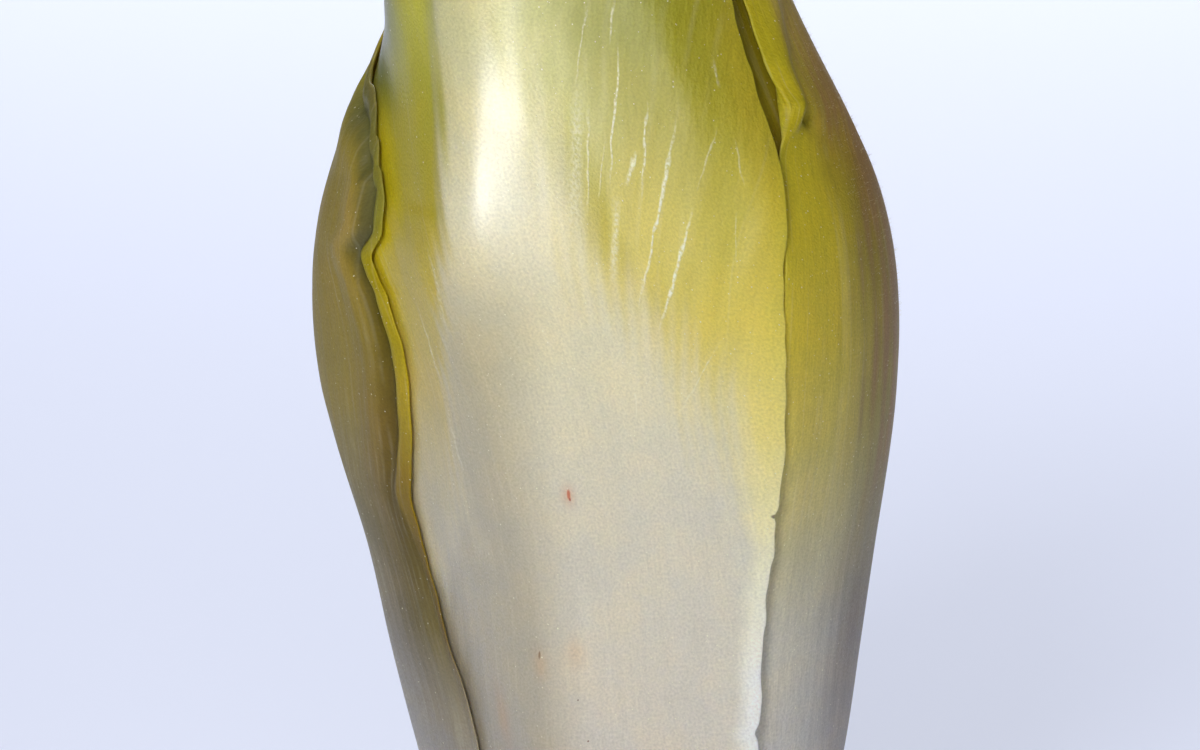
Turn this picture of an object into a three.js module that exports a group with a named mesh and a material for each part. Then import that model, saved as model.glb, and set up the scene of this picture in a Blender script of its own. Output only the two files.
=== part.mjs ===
// Belgian endive: one whole chicory head, standing on its cut base.
//
// The head is a stack of cupped leaves wrapped round a short conical stem. Each
// leaf is a shell on a shared envelope: leaf number k lies inside every leaf
// before it, so its outer face is the envelope less the room that the leaves
// over it take up. Where no leaf lies over it, it rises to the envelope again.
//
// Millimetres, +Z up. The origin is the centre of the cut face, the front of the
// head looks towards -Y and +X is on its right. Angles are in degrees round the
// axis from the front, positive towards +X.

import * as THREE from 'three';

const { clamp, degToRad, radToDeg, smoothstep } = THREE.MathUtils;

// ---------------------------------------------------------------- dimensions

// Head envelope: height, half width, and how far its axis leans towards +X.
const HEAD_PROFILE = [
  [0, 15.0, 0.0],
  [30, 21.85, -1.45],
  [40, 23.75, -2.1],
  [50, 25.5, -2.6],
  [60, 27.8, -3.4],
  [67, 29.0, -3.9],
  [75, 29.4, -4.1],
  [83, 28.6, -4.2],
  [90, 26.6, -4.3],
  [105, 20.2, -5.3],
  [120, 14.8, -6.6],
  [135, 9.3, -7.4],
  [145, 5.1, -7.7],
  [152, 1.7, -7.8],
];
const HEAD_HEIGHT = 149;
const DEPTH_RATIO = 0.95; // front to back depth over width

// How far the round form under the flattened sides stands out, by height.
const ROUNDING = [[0, 1.0], [40, 1.02], [110, 1.015], [150, 1.0]];

// The head is a little flattened where leaves face outwards. Each side has its
// direction by height, its distance from the axis by height as a share of the half
// width, and its flatness: 1 is a plane, 0 is round.
const SIDES = [
  {
    direction: [[0, 3], [45, 5], [75, 5], [90, 3], [105, -6], [150, -24]],
    share: [
      [0, 0.95], [20, 0.91], [45, 0.845], [75, 0.835], [90, 0.835], [105, 0.885], [150, 1.02],
    ],
    flatness: 0.85,
  },
  {
    direction: [[0, -48], [45, -49], [75, -54], [90, -58], [150, -68]],
    share: [
      [0, 0.93], [25, 0.87], [45, 0.825], [60, 0.835], [75, 0.87], [90, 0.93], [105, 0.97],
      [150, 1.02],
    ],
    flatness: 0.68,
  },
  {
    direction: [[0, 60], [150, 60]],
    share: [[0, 1.0], [45, 0.97], [80, 0.965], [105, 0.97], [150, 1.02]],
    flatness: 0.88,
  },
  { direction: [[0, -98], [150, -98]], share: [[0, 1.025], [150, 1.015]], flatness: 0.85 },
  { direction: [[0, 98], [150, 98]], share: [[0, 1.01], [150, 1.01]], flatness: 0.85 },
  {
    direction: [[0, 142], [150, 146]],
    share: [[0, 0.98], [40, 0.955], [105, 0.955], [150, 1.0]],
    flatness: 0.8,
  },
  {
    direction: [[0, -148], [150, -140]],
    share: [[0, 0.98], [40, 0.955], [105, 0.955], [150, 1.0]],
    flatness: 0.8,
  },
];
const CORNER_SHARPNESS = 36; // how tightly the sides meet

// Stem: a cone that the leaves grow from, cut flat at the foot.
const STEM_RADIUS = 10.5;
const STEM_HEIGHT = 52;
const STEM_TAPER = 0.85; // 1 is a straight cone, less is fuller
const STEM_END_RADIUS = 1.2;
const TURNED_SIDES = 24;
const STEM_GAP = 0.3; // between the stem and the leaves on it

// Leaf thickness and spacing.
const RIB_PITCH = 4.9; // room that a midrib takes at the foot of a leaf
const EDGE_PITCH = 1.0; // room that a leaf takes at its margins
const RIB_SPREAD = 14; // how far from its middle the midrib thins out, at the foot
const RIB_THINS_BY = 0.75; // share of the midrib's thickness lost at the top
const RIB_NARROWS_BY = 0.35; // share of its spread lost at the top
const LEAST_RIB = 0.2; // what is left of its rise over the margins
const AIR = 0.7; // free space between one leaf and the next
const INNER_AIR = 0.09; // extra space that each layer further in has
const LEDGE = 0.8; // past a margin, the leaf under it stays in for this far
const BRIDGE = 10; // and has come out again at this distance

// The three outer leaves, one by one. Each has a middle line and two margins, as
// [height, angle] stations, and a rounded end that starts `shoulder` below its tip.
// `fullness` shapes that end: towards 0.5 it is broad, towards 1 it is narrow.
const OUTER_LEAVES = [
  {
    name: 'outer_leaf_left',
    middle: [[0, -142], [150, -142]],
    before: [[0, -222], [40, -228], [75, -226], [112, -218]],
    after: [
      [0, -66], [20, -56], [34, -52.5], [44, -60], [51, -63], [57.5, -61.5], [61, -57.5],
      [65, -53.5], [70, -50.5], [74, -50.8], [78, -55], [81.5, -60], [86, -59], [90, -58.5],
      [113, -58],
    ],
    tip: 113,
    shoulder: 25,
    fullness: 0.85,
  },
  {
    name: 'outer_leaf_front',
    middle: [
      [0, -2], [30, -3.5], [60, -5], [75, -10], [85, -18], [97, -27], [108, -36], [150, -42],
    ],
    before: [[0, -72], [40, -78], [74, -82], [105, -96], [150, -120]],
    after: [
      [0, 44], [30, 36.8], [46, 36.5], [60, 38.2], [77, 39], [84, 40.2], [92, 44.7],
      [104, 46.7], [125, 56], [150, 62],
    ],
    tip: HEAD_HEIGHT,
    shoulder: 30,
    fullness: 0.6,
  },
  {
    name: 'outer_leaf_right',
    middle: [[0, 122], [75, 125], [150, 128]],
    before: [
      [0, 40], [40, 33], [70, 36], [82, 39], [88, 42], [93, 46.3], [96.5, 54.5], [100, 54.7],
      [105, 55.5], [112, 58.5], [150, 68],
    ],
    after: [[0, 180], [40, 204], [75, 210], [110, 214], [150, 216]],
    tip: 143,
    shoulder: 34,
    fullness: 0.6,
  },
];
const END_SHARPNESS = 1.6; // 2 is an elliptic end, 1 a pointed one

// The inner leaves repeat up the stem.
const LEAF_COUNT = 18; // with the outer three
const GOLDEN_ANGLE = 137.5; // from each leaf to the next, round the stem
const FIRST_ANGLE = -142;
const HALF_WIDTH = 33; // of an inner leaf laid flat
const FOOT_WIDTH = 0.55; // share of that width at its foot
const FOOT_LENGTH = 35; // over which it widens
const WIDEST_WRAP = 96; // most that half a leaf wraps round, in degrees
const TIP_STEP = 0.9; // each leaf ends at least this much lower than the one before
const TIP_RADIUS = 2.4; // and where its outer face is this near the axis
const MOST_CROWDED = 0.8; // it starts where those over it take this share of the room
const SHOULDER = 30;
const FULLNESS = 0.6;

// Heart: the smallest leaves, still furled in one bud over the stem.
const HEART_FOOT = 54;
const HEART_TIP = 116;

// Facets of the leaves.
const OUTER_COLUMNS = 20;
const OUTER_ROWS = 16;
const INNER_COLUMNS = 14;
const INNER_ROW_SPACING = 10;

// ------------------------------------------------------------------ envelope

// Smooth curve through rows of numbers, from their first column to column `column`: a
// cubic between neighbours, with the slope at each row of the line through its two
// neighbours.
function curveThrough(rows, column = 1) {
  const last = rows.length - 1;
  const slope = (i) => {
    const a = rows[Math.max(i - 1, 0)];
    const b = rows[Math.min(i + 1, last)];
    return (b[column] - a[column]) / (b[0] - a[0]);
  };
  return (x) => {
    let i = 0;
    while (i < last - 1 && x > rows[i + 1][0]) i += 1;
    const step = rows[i + 1][0] - rows[i][0];
    const t = clamp((x - rows[i][0]) / step, 0, 1);
    const t2 = t * t;
    const t3 = t2 * t;
    return (
      (2 * t3 - 3 * t2 + 1) * rows[i][column] +
      (t3 - 2 * t2 + t) * step * slope(i) +
      (3 * t2 - 2 * t3) * rows[i + 1][column] +
      (t3 - t2) * step * slope(i + 1)
    );
  };
}

const headRadius = curveThrough(HEAD_PROFILE, 1);
const axisLean = curveThrough(HEAD_PROFILE, 2);

const rounding = curveThrough(ROUNDING);
const sides = SIDES.map(({ direction, share, flatness }) => ({
  directionAt: curveThrough(direction),
  shareAt: curveThrough(share),
  flatness,
}));

// Radius of the head: the soft least of an ellipse and the flattened sides.
function envelope(angle, height) {
  const grazing = 0.05; // least cosine, for what faces away from a side
  const a = degToRad(angle);
  const ellipse = Math.hypot(Math.sin(a), Math.cos(a) / DEPTH_RATIO) / rounding(height);
  let closeness = Math.pow(ellipse, CORNER_SHARPNESS);
  sides.forEach(({ directionAt, shareAt, flatness }) => {
    const facing = Math.max(Math.cos(a - degToRad(directionAt(height))), grazing);
    closeness += Math.pow(Math.pow(facing, flatness) / shareAt(height), CORNER_SHARPNESS);
  });
  return headRadius(height) * Math.pow(closeness, -1 / CORNER_SHARPNESS);
}

function stemRadius(height) {
  return STEM_RADIUS * Math.pow(1 - clamp(height / STEM_HEIGHT, 0, 1), STEM_TAPER);
}

// Length round the head that an angle spans at a height. It is never taken as nothing,
// so that distances near the tip stay finite.
function arcLength(angle, height) {
  const leastRadius = 6;
  return degToRad(angle) * Math.max(headRadius(height), leastRadius);
}

function place(radius, angle, height) {
  const a = degToRad(angle);
  return [axisLean(height) + radius * Math.sin(a), -radius * Math.cos(a), height];
}

// -------------------------------------------------------------------- leaves

function makeLeaf(spec) {
  return {
    foot: 0,
    air: 0,
    ...spec,
    middleAt: curveThrough(spec.middle),
    beforeAt: curveThrough(spec.before),
    afterAt: curveThrough(spec.after),
  };
}

// Half the leaf's span on one side of its middle, in degrees.
function halfSpan(leaf, side, height) {
  const middle = leaf.middleAt(height);
  return side < 0 ? middle - leaf.beforeAt(height) : leaf.afterAt(height) - middle;
}

// Shortest turn from a leaf's middle line to an angle.
function awayFromMiddle(leaf, angle, height) {
  const away = angle - leaf.middleAt(height);
  return away - 360 * Math.round(away / 360);
}

// Height of a leaf's end above a point across it, where -1 and 1 are its margins.
function endHeight(leaf, u) {
  const level = Math.pow(1 - Math.pow(Math.abs(u), END_SHARPNESS), leaf.fullness);
  return leaf.tip - leaf.shoulder * (1 - level);
}

// Signed distance inside a leaf's outline, along its face. The outline is where
// |u|^sharpness + rise^(1/fullness) = 1, and the distance is what is left of that sum
// over its slope.
function inside(leaf, angle, height) {
  const tiny = 1e-3;
  const away = awayFromMiddle(leaf, angle, height);
  const span = halfSpan(leaf, away, height);
  const u = Math.max(Math.abs(away / span), tiny);
  const rise = Math.max((height - leaf.tip + leaf.shoulder) / leaf.shoulder, 0);
  const left = 1 - Math.pow(u, END_SHARPNESS) - Math.pow(rise, 1 / leaf.fullness);
  const slopeAcross = (END_SHARPNESS * Math.pow(u, END_SHARPNESS - 1)) / arcLength(span, height);
  const slopeUp = Math.pow(rise, 1 / leaf.fullness - 1) / (leaf.fullness * leaf.shoulder);
  return left / Math.hypot(slopeAcross, slopeUp, tiny);
}

// Room that a leaf takes up: much along the midrib, little at the margins and the tip.
function pitch(leaf, angle, height) {
  const up = height / HEAD_HEIGHT;
  const rib = RIB_PITCH * (1 - RIB_THINS_BY * up) - EDGE_PITCH;
  const spread = RIB_SPREAD * (1 - RIB_NARROWS_BY * up);
  const fromMiddle = arcLength(awayFromMiddle(leaf, angle, height), height);
  const swell = Math.exp(-((fromMiddle / spread) ** 2));
  return EDGE_PITCH + leaf.air + Math.max(rib, LEAST_RIB) * swell;
}

const leaves = OUTER_LEAVES.map(makeLeaf);

// Depth under the envelope at which leaf number k has its outer face.
function leafDepth(k, angle, height) {
  let depth = 0;
  leaves.slice(0, k).forEach((leaf) => {
    const cover = smoothstep(inside(leaf, angle, height), -BRIDGE, -LEDGE);
    depth += cover * pitch(leaf, angle, height);
  });
  return depth;
}

function roomOnStem(angle, height) {
  return envelope(angle, height) - stemRadius(height) - STEM_GAP;
}

// Radius at a depth under the envelope. Near the stem the layers are squeezed into
// the room that it leaves, and never pass it.
function radiusAtDepth(depth, angle, height) {
  const share = depth / roomOnStem(angle, height);
  return envelope(angle, height) - depth / Math.pow(1 + share ** 4, 0.25);
}

function outerRadius(k, angle, height) {
  return radiusAtDepth(leafDepth(k, angle, height), angle, height);
}

function innerRadius(k, angle, height) {
  const leaf = leaves[k];
  const thickness = pitch(leaf, angle, height) - AIR - leaf.air;
  return radiusAtDepth(leafDepth(k, angle, height) + thickness, angle, height);
}

// Inner leaf number k stands a golden angle round from the one before. It starts where
// the stem has room for it and ends where the head closes.
function innerLeaf(k) {
  const middle = FIRST_ANGLE + GOLDEN_ANGLE * k;
  const crowding = (height) => {
    const shares = [-60, -30, 0, 30, 60].map((side) => {
      return leafDepth(k, middle + side, height) / roomOnStem(middle + side, height);
    });
    return Math.max(...shares);
  };
  let foot = 1;
  while (crowding(foot) > MOST_CROWDED) foot += 0.5;
  let tip = HEAD_HEIGHT - TIP_STEP * k;
  while (outerRadius(k, middle, tip) < TIP_RADIUS) tip -= 0.5;
  const wrap = (height) => {
    const widening = smoothstep(height, foot, foot + FOOT_LENGTH);
    const width = HALF_WIDTH * (FOOT_WIDTH + (1 - FOOT_WIDTH) * widening);
    return Math.min(radToDeg(width / outerRadius(k, middle, height)), WIDEST_WRAP);
  };
  const stations = [0, 0.2, 0.4, 0.6, 0.8, 1].map((t) => foot + t * (tip - foot));
  return {
    name: `inner_leaf_${String(k + 1).padStart(2, '0')}`,
    middle: [[0, middle], [HEAD_HEIGHT, middle]],
    before: stations.map((height) => [height, middle - wrap(height)]),
    after: stations.map((height) => [height, middle + wrap(height)]),
    foot,
    tip,
    shoulder: SHOULDER,
    fullness: FULLNESS,
    air: INNER_AIR * k,
  };
}

for (let k = OUTER_LEAVES.length; k < LEAF_COUNT; k += 1) {
  leaves.push(makeLeaf(innerLeaf(k)));
}

// ------------------------------------------------------------------ geometry

// Closed shell of leaf number k: a grid of columns across it and rows up it, once on
// its outer face and once on its inner face, joined by a rim. The columns stand
// closer towards the margins, where the end of the leaf curves down.
function leafGeometry(k, columns, rows) {
  const leaf = leaves[k];
  const positions = [];
  for (const faceRadius of [outerRadius, innerRadius]) {
    for (let row = 0; row <= rows; row += 1) {
      for (let column = 0; column <= columns; column += 1) {
        const s = (2 * column) / columns - 1;
        const u = 0.65 * s + 0.35 * Math.sin((Math.PI / 2) * s);
        const height = leaf.foot + (row / rows) * (endHeight(leaf, u) - leaf.foot);
        const angle = leaf.middleAt(height) + u * halfSpan(leaf, u, height);
        positions.push(...place(faceRadius(k, angle, height), angle, height));
      }
    }
  }
  const wide = columns + 1;
  const inner = wide * (rows + 1);
  const triangles = [];
  for (let row = 0; row < rows; row += 1) {
    for (let column = 0; column < columns; column += 1) {
      const a = row * wide + column;
      const b = a + 1;
      const c = a + wide;
      const d = c + 1;
      triangles.push(a, b, d, a, d, c);
      triangles.push(inner + a, inner + d, inner + b, inner + a, inner + c, inner + d);
    }
  }
  const rim = [];
  for (let column = 0; column < columns; column += 1) rim.push(column);
  for (let row = 0; row < rows; row += 1) rim.push(row * wide + columns);
  for (let column = columns; column > 0; column -= 1) rim.push(rows * wide + column);
  for (let row = rows; row > 0; row -= 1) rim.push(row * wide);
  rim.forEach((a, i) => {
    const b = rim[(i + 1) % rim.length];
    triangles.push(a, inner + b, b, a, inner + a, inner + b);
  });
  const geometry = new THREE.BufferGeometry();
  geometry.setAttribute('position', new THREE.Float32BufferAttribute(positions, 3));
  geometry.setIndex(triangles);
  return geometry;
}

// Solid of revolution round the leaning axis, from [radius, height] rows that start
// and end on it.
function turnedGeometry(profile) {
  const points = profile.map(([radius, height]) => new THREE.Vector2(radius, height));
  const geometry = new THREE.LatheGeometry(points, TURNED_SIDES);
  geometry.rotateX(Math.PI / 2);
  const position = geometry.getAttribute('position');
  for (let i = 0; i < position.count; i += 1) {
    position.setX(i, position.getX(i) + axisLean(position.getZ(i)));
  }
  return geometry;
}

function stemGeometry() {
  const profile = [[0, 0]];
  for (let i = 0; i < 6; i += 1) {
    const height = (i / 6) * STEM_HEIGHT;
    profile.push([stemRadius(height), height]);
  }
  profile.push([STEM_END_RADIUS, STEM_HEIGHT - 1], [0, STEM_HEIGHT]);
  return turnedGeometry(profile);
}

// The bud fills what the innermost leaf leaves free.
function heartGeometry() {
  const profile = [[0, HEART_FOOT]];
  for (let i = 1; i < 10; i += 1) {
    const height = HEART_FOOT + (i / 10) * (HEART_TIP - HEART_FOOT);
    const around = Array.from({ length: TURNED_SIDES }, (_, side) => {
      return outerRadius(LEAF_COUNT, (360 / TURNED_SIDES) * side, height);
    });
    profile.push([Math.min(...around) - AIR, height]);
  }
  profile.push([0, HEART_TIP]);
  return turnedGeometry(profile);
}

// --------------------------------------------------------------------- build

const STEM_COLOUR = '#d9d0b8';
const OUTER_COLOUR = '#c8bd84';
const INNER_COLOUR = '#d6cd86';
const HEART_COLOUR = '#e2d878';
const WAXY_ROUGHNESS = 0.38;

const endive = new THREE.Group();

function addPiece(name, geometry, color) {
  const waxy = new THREE.MeshStandardMaterial({ color, roughness: WAXY_ROUGHNESS, metalness: 0 });
  const piece = new THREE.Mesh(geometry, waxy);
  piece.name = name;
  endive.add(piece);
}

addPiece('stem_core', stemGeometry(), STEM_COLOUR);
addPiece('heart_bud', heartGeometry(), HEART_COLOUR);
leaves.forEach((leaf, k) => {
  if (k < OUTER_LEAVES.length) {
    addPiece(leaf.name, leafGeometry(k, OUTER_COLUMNS, OUTER_ROWS), OUTER_COLOUR);
  } else {
    const rows = Math.round((leaf.tip - leaf.foot) / INNER_ROW_SPACING);
    addPiece(leaf.name, leafGeometry(k, INNER_COLUMNS, rows), INNER_COLOUR);
  }
});

export default endive;
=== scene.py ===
"""Looks of a belgian endive head: nested waxy leaves on a cut stem.

Lengths in the shape functions are millimetres. Angles are degrees round the head from
its front, positive towards +X. Meshes are written in metres.
"""

import math
from functools import partial

import bpy
import numpy as np
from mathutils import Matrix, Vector


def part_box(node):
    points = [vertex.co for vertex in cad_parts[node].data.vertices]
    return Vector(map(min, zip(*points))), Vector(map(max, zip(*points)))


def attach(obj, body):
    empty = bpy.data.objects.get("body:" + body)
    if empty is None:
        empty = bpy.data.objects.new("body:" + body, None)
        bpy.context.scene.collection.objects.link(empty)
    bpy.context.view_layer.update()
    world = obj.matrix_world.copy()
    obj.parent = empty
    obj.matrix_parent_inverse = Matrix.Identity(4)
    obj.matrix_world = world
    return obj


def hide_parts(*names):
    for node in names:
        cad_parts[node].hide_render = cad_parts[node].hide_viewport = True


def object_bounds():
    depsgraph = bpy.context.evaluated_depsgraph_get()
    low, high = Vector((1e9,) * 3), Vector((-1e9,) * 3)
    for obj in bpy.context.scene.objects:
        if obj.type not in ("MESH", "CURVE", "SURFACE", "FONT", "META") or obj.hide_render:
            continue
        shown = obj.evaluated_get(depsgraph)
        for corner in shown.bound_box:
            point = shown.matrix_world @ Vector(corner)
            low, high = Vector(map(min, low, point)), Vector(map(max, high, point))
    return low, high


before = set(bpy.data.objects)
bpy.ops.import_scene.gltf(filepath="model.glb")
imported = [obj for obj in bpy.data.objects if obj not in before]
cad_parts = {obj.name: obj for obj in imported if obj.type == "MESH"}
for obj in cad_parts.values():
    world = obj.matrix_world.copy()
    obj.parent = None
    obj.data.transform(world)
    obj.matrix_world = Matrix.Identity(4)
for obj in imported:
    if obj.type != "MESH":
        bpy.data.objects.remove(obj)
CAD_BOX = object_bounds()

MM = 0.001
HEAD_HEIGHT = CAD_BOX[1].z / MM


def curve_through(stations):
    """Cubic between neighbouring stations, with the slope at each of the line through
    its two neighbours; level beyond the ends."""
    x, y = np.array(list(stations.items()), float).T
    before = np.maximum(np.arange(len(x)) - 1, 0)
    after = np.minimum(np.arange(len(x)) + 1, len(x) - 1)
    slope = (y[after] - y[before]) / (x[after] - x[before])

    def curve(at):
        at = np.asarray(at, float)
        i = np.clip(np.searchsorted(x, at) - 1, 0, len(x) - 2)
        step = x[i + 1] - x[i]
        t = np.clip((at - x[i]) / step, 0, 1)
        return (
            (2 * t**3 - 3 * t**2 + 1) * y[i]
            + (t**3 - 2 * t**2 + t) * step * slope[i]
            + (3 * t**2 - 2 * t**3) * y[i + 1]
            + (t**3 - t**2) * step * slope[i + 1]
        )

    return curve


def smoothstep(low, high, x):
    """0 below low, 1 above high, an S between them."""
    t = np.clip((np.asarray(x, float) - low) / (high - low), 0, 1)
    return t * t * (3 - 2 * t)


def bell(x, middle, width):
    """1 at the middle, falling to 0.37 at a width from it."""
    return np.exp(-(((x - middle) / width) ** 2))


def window(x, low, high, soft):
    """1 between low and high, 0 outside, with soft ends."""
    return smoothstep(low - soft, low + soft, x) * (1 - smoothstep(high - soft, high + soft, x))


def waves(x, y, lengths, seed):
    """Soft unevenness between about -1 and 1: crossing waves of the given lengths."""
    total = 0
    for i, length in enumerate(lengths):
        turn = 2.4 * (i + seed)
        phase = x * np.cos(turn) + y * np.sin(turn)
        total = total + np.sin(2 * np.pi * phase / length + 1.7 * turn)
    return total / np.sqrt(2 * len(lengths))


# ---------- head form

# Height, half width at it, and lean of the axis towards +X.
HEAD_PROFILE = (
    (0, 15.0, 0.0), (30, 21.85, -1.45), (40, 23.75, -2.1), (50, 25.5, -2.6),
    (60, 27.8, -3.4), (67, 29.0, -3.9), (75, 29.4, -4.1), (83, 28.6, -4.2),
    (90, 26.6, -4.3), (105, 20.2, -5.3), (120, 14.8, -6.6), (135, 9.3, -7.4),
    (145, 5.1, -7.7), (152, 1.7, -7.8),
)
DEPTH_RATIO = 0.95  # depth over width

# How far the round form under the flattened sides stands out, by height.
ROUNDING = {0: 1.0, 40: 1.02, 110: 1.015, 150: 1.0}

# Flattened sides: the way each faces by height, how far out it lies by height as a share
# of the half width, and its flatness (1 is a plane, 0 is round).
BACK_SHARE = {0: 0.98, 40: 0.955, 105: 0.955, 150: 1.0}
SIDES = (
    (
        {0: 3, 45: 5, 75: 5, 90: 3, 105: -6, 150: -24},
        {0: 0.95, 20: 0.91, 45: 0.845, 75: 0.835, 90: 0.835, 105: 0.885, 150: 1.02},
        0.85,
    ),
    (
        {0: -48, 45: -49, 75: -54, 90: -58, 150: -68},
        {0: 0.93, 25: 0.87, 45: 0.825, 60: 0.835, 75: 0.87, 90: 0.93, 105: 0.97, 150: 1.02},
        0.68,
    ),
    (
        {0: 60, 150: 60},
        {0: 1.0, 45: 0.97, 80: 0.965, 105: 0.97, 150: 1.02},
        0.88,
    ),
    ({0: -98, 150: -98}, {0: 1.025, 150: 1.015}, 0.85),
    ({0: 98, 150: 98}, {0: 1.01, 150: 1.01}, 0.85),
    ({0: 142, 150: 146}, BACK_SHARE, 0.8),
    ({0: -148, 150: -140}, BACK_SHARE, 0.8),
)
CORNER_SHARPNESS = 36  # how tightly the sides meet
LEAST_FACING = 0.05  # with which a side that faces away still counts
LEAST_GIRTH = 6  # least radius with which arcs are measured, near the tip

STEM_RADIUS = 10.5
STEM_HEIGHT = 52
STEM_TAPER = 0.85  # 1 is a straight cone, less is fuller
STEM_GAP = 0.3  # between the stem and the leaves on it

RIB_PITCH = 4.9  # room that a midrib takes at the foot of a leaf
EDGE_PITCH = 1.0  # room that a leaf takes at its margins
RIB_SPREAD = 14  # how far from its middle the midrib thins out, at the foot
RIB_THINS_BY = 0.75  # share of the midrib's thickness lost at the top
RIB_NARROWS_BY = 0.35  # share of its spread lost at the top
LEAST_RIB = 0.2  # what is left of its rise over the margins
INNER_AIR = 0.09  # extra space that each layer further in has
LEDGE = 0.8  # past a margin, the leaf under it stays in for this far
BRIDGE = 10  # and has come out again at this distance

GOLDEN_ANGLE = 137.5  # from each leaf to the next, round the stem
FIRST_ANGLE = -142
HALF_WIDTH = 33  # of an inner leaf laid flat
FOOT_WIDTH = 0.55  # share of that width at its foot
FOOT_LENGTH = 35  # over which it widens
WIDEST_WRAP = 96  # most that half a leaf wraps round, in degrees

END_SHARPNESS = 1.6  # 2 is an elliptic end, 1 a pointed one
SKIN_GAP = 0.1  # air between two leaves that lie on each other
EDGE_THICKNESS = 0.28
LEAST_THICKNESS = 0.12
EDGE_TAPER = 0.12  # thickness gained per mm in from a margin
EDGE_FILLING = 0.03  # and per square mm

head_radius = curve_through({height: radius for height, radius, _ in HEAD_PROFILE})
axis_lean = curve_through({height: lean for height, _, lean in HEAD_PROFILE})
rounding = curve_through(ROUNDING)
flat_sides = [(curve_through(way), curve_through(share), flat) for way, share, flat in SIDES]


def envelope(angle, height):
    """Radius of the head: the soft least of an ellipse and seven flattened sides."""
    a = np.radians(angle)
    ellipse = np.hypot(np.sin(a), np.cos(a) / DEPTH_RATIO) / rounding(height)
    closeness = ellipse**CORNER_SHARPNESS
    for way, share, flat in flat_sides:
        facing = np.maximum(np.cos(a - np.radians(way(height))), LEAST_FACING)
        closeness = closeness + (facing**flat / share(height)) ** CORNER_SHARPNESS
    return head_radius(height) * closeness ** (-1 / CORNER_SHARPNESS)


def stem_radius(height):
    """Blunt cone that narrows upwards."""
    return STEM_RADIUS * np.power(1 - np.clip(height / STEM_HEIGHT, 0, 1), STEM_TAPER)


def arc_length(angle, height):
    """Length that an angle spans round the head at a height."""
    return np.radians(angle) * np.maximum(head_radius(height), LEAST_GIRTH)


def foot_and_tip(name):
    """Lowest and highest point of a CAD node."""
    low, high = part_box(name)
    return low.z / MM, high.z / MM


def place(radius, angle, height):
    """Points in metres at a radius and angle round the leaning axis."""
    a = np.radians(angle)
    x = axis_lean(height) + radius * np.sin(a)
    return np.stack([x, -radius * np.cos(a), height + 0 * radius], axis=-1) * MM


# ---------- leaves

# Angle of the middle line and of both margins by height, and the rounded end. A nick in
# the right margin is (height, depth, half width); a tear in the end is the same, with
# its place across the leaf, which runs from -1 to 1, for the height.
OUTER_LEAVES = (
    dict(
        name="outer_leaf_left",
        middle={0: -142, 150: -142},
        before={0: -222, 40: -228, 75: -226, 112: -218},
        after={
            0: -66, 20: -56, 34: -52.5, 44: -60, 51: -63, 57.5: -61.5, 61: -57.5, 65: -53.5,
            70: -50.5, 74: -50.8, 78: -55, 81.5: -60, 86: -59, 90: -58.5, 113: -58,
        },
        shoulder=25,
        fullness=0.85,
        nicks=((82.3, 0.9, 1.1), (79.2, -0.5, 0.8), (84.8, -0.5, 1.0)),
        tears=((0.56, 3.2, 0.13), (0.7, 1.2, 0.05), (0.86, 0.8, 0.02), (0.93, 0.6, 0.015)),
    ),
    dict(
        name="outer_leaf_front",
        middle={0: -2, 30: -3.5, 60: -5, 75: -10, 85: -18, 97: -27, 108: -36, 150: -42},
        before={0: -72, 40: -78, 74: -82, 105: -96, 150: -120},
        after={
            0: 44, 30: 36.8, 46: 36.5, 60: 38.2, 77: 39, 84: 40.2, 92: 44.7, 104: 46.7, 125: 56,
            150: 62,
        },
        shoulder=30,
        fullness=0.6,
        nicks=((58.6, 0.35, 0.5), (36, 0.4, 0.6)),
    ),
    dict(
        name="outer_leaf_right",
        middle={0: 122, 75: 125, 150: 128},
        before={
            0: 40, 40: 33, 70: 36, 82: 39, 88: 42, 93: 46.3, 96.5: 54.5, 100: 54.7, 105: 55.5,
            112: 58.5, 150: 68,
        },
        after={0: 180, 40: 204, 75: 210, 110: 214, 150: 216},
        shoulder=34,
        fullness=0.6,
    ),
)

# Half width of the white midrib by share of the leaf's length.
RIB_WIDTH = {
    0.0: 45, 0.3: 30, 0.39: 20, 0.44: 18, 0.48: 16, 0.5: 14, 0.53: 11, 0.56: 8.5, 0.58: 7.3,
    0.65: 5.5, 0.73: 4, 1.0: 1,
}
rib_width = curve_through(RIB_WIDTH)

FAN_START = 0.46  # share of the leaf's length where its veins begin to fan out
FAN_BEND = 0.6  # 0 leaves the veins straight
FAN_SOFTNESS = 12  # how slowly they leave the straight, in mm
VEIN_SPREAD = 10  # half the number of broad streaks across any other leaf


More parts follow.
